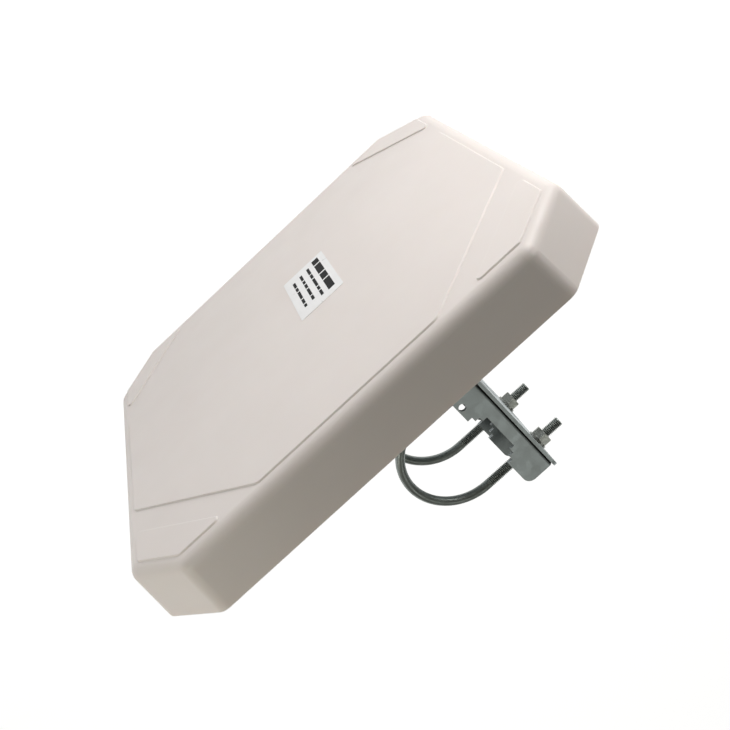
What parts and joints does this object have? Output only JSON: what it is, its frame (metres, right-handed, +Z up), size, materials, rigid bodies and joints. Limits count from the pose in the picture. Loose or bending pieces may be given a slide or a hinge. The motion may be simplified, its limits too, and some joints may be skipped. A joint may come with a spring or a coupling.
{
  "type": "panel antenna",
  "caption": "Flat square panel antenna with cut corners on a tilting L bracket with a stepped-jaw U-bolt pole clamp.",
  "frame": {"origin": "on the pole axis, at mid-height between the two U-bolts", "axes": "+Z up along the pole, the antenna faces -Y, the clamp nuts are at -X and the U-bolts open towards them"},
  "size_m": [0.266, 0.159, 0.266],
  "materials": {
    "asa_shell": "satin moulded",
    "sheet_aluminium": "brushed sheet",
    "seal_rubber": "matt",
    "stainless_fixings": "passivated",
    "nylon": "matt",
    "brass_parts": "turned",
    "circuit_board": "solder mask",
    "coax_copper": "drawn",
    "nickel_plate": "nickel plated",
    "ptfe": "waxy",
    "black_plastic": "moulded",
    "label_film": "printed film",
    "zinc_sheet": "zinc plated sheet steel",
    "zinc_fixings": "zinc plated",
    "zinc_rod": "zinc plated rod"
  },
  "bodies": {
    "clamp": {"upper_jaw": "zinc_sheet", "lower_jaw": "zinc_sheet", "clamp_washers": "zinc_fixings"},
    "antenna": {"back_plate": "sheet_aluminium", "board_screws": "stainless_fixings", "board_spacers": "nylon", "connector_body": "nickel_plate", "connector_contact": "brass_parts", "connector_gasket": "seal_rubber", "connector_insulator": "ptfe", "connector_screws": "stainless_fixings", "cover_screws": "stainless_fixings", "director_patch": "sheet_aluminium", "driven_patch": "sheet_aluminium", "feed_board": "circuit_board", "feed_coax": "coax_copper", "feed_probes": "brass_parts", "front_label": "label_film", "ground_post": "brass_parts", "lower_standoffs": "nylon", "mounting_studs": "stainless_fixings", "patch_screws": "nylon", "radome": "asa_shell", "rim_gasket": "seal_rubber", "stud_lock_washers": "zinc_fixings", "stud_nuts": "zinc_fixings", "stud_washers": "zinc_fixings", "tilt_bracket": "zinc_sheet", "upper_standoffs": "nylon", "vent_plug": "black_plastic"},
    "upper_u_bolt": {"upper_u_bolt": "zinc_rod"},
    "upper_inner_nut": {"upper_inner_nut": "zinc_fixings"},
    "upper_outer_nut": {"upper_outer_nut": "zinc_fixings"},
    "lower_u_bolt": {"lower_u_bolt": "zinc_rod"},
    "lower_inner_nut": {"lower_inner_nut": "zinc_fixings"},
    "lower_outer_nut": {"lower_outer_nut": "zinc_fixings"}
  },
  "joints": [
    {"name": "tilt", "type": "hinge", "parent": "clamp", "child": "antenna", "pos_m": [-0.0365, 0, 0], "axis": [1, 0, 0], "range_deg": [-15, 15]},
    {"name": "upper_u_bolt_travel", "type": "slide", "parent": "clamp", "child": "upper_u_bolt", "axis": [1, 0, 0], "range_m": [-0.028, 0.01]},
    {"name": "upper_inner_nut_spin", "type": "hinge", "parent": "clamp", "child": "upper_inner_nut", "pos_m": [-0.0413, -0.031, 0.025], "axis": [1, 0, 0], "range_deg": [-10081, 3601]},
    {"name": "upper_outer_nut_spin", "type": "hinge", "parent": "clamp", "child": "upper_outer_nut", "pos_m": [-0.0413, 0.031, 0.025], "axis": [1, 0, 0], "range_deg": [-10081, 3601]},
    {"name": "lower_u_bolt_travel", "type": "slide", "parent": "clamp", "child": "lower_u_bolt", "axis": [1, 0, 0], "range_m": [-0.028, 0.01]},
    {"name": "lower_inner_nut_spin", "type": "hinge", "parent": "clamp", "child": "lower_inner_nut", "pos_m": [-0.0413, -0.031, -0.025], "axis": [1, 0, 0], "range_deg": [-10081, 3601]},
    {"name": "lower_outer_nut_spin", "type": "hinge", "parent": "clamp", "child": "lower_outer_nut", "pos_m": [-0.0413, 0.031, -0.025], "axis": [1, 0, 0], "range_deg": [-10081, 3601]}
  ],
  "couplings": [
    {"joint": "upper_inner_nut_spin", "follows": "upper_u_bolt_travel", "rad_per_m": 6283.2},
    {"joint": "upper_outer_nut_spin", "follows": "upper_u_bolt_travel", "rad_per_m": 6283.2},
    {"joint": "lower_inner_nut_spin", "follows": "lower_u_bolt_travel", "rad_per_m": 6283.2},
    {"joint": "lower_outer_nut_spin", "follows": "lower_u_bolt_travel", "rad_per_m": 6283.2}
  ]
}
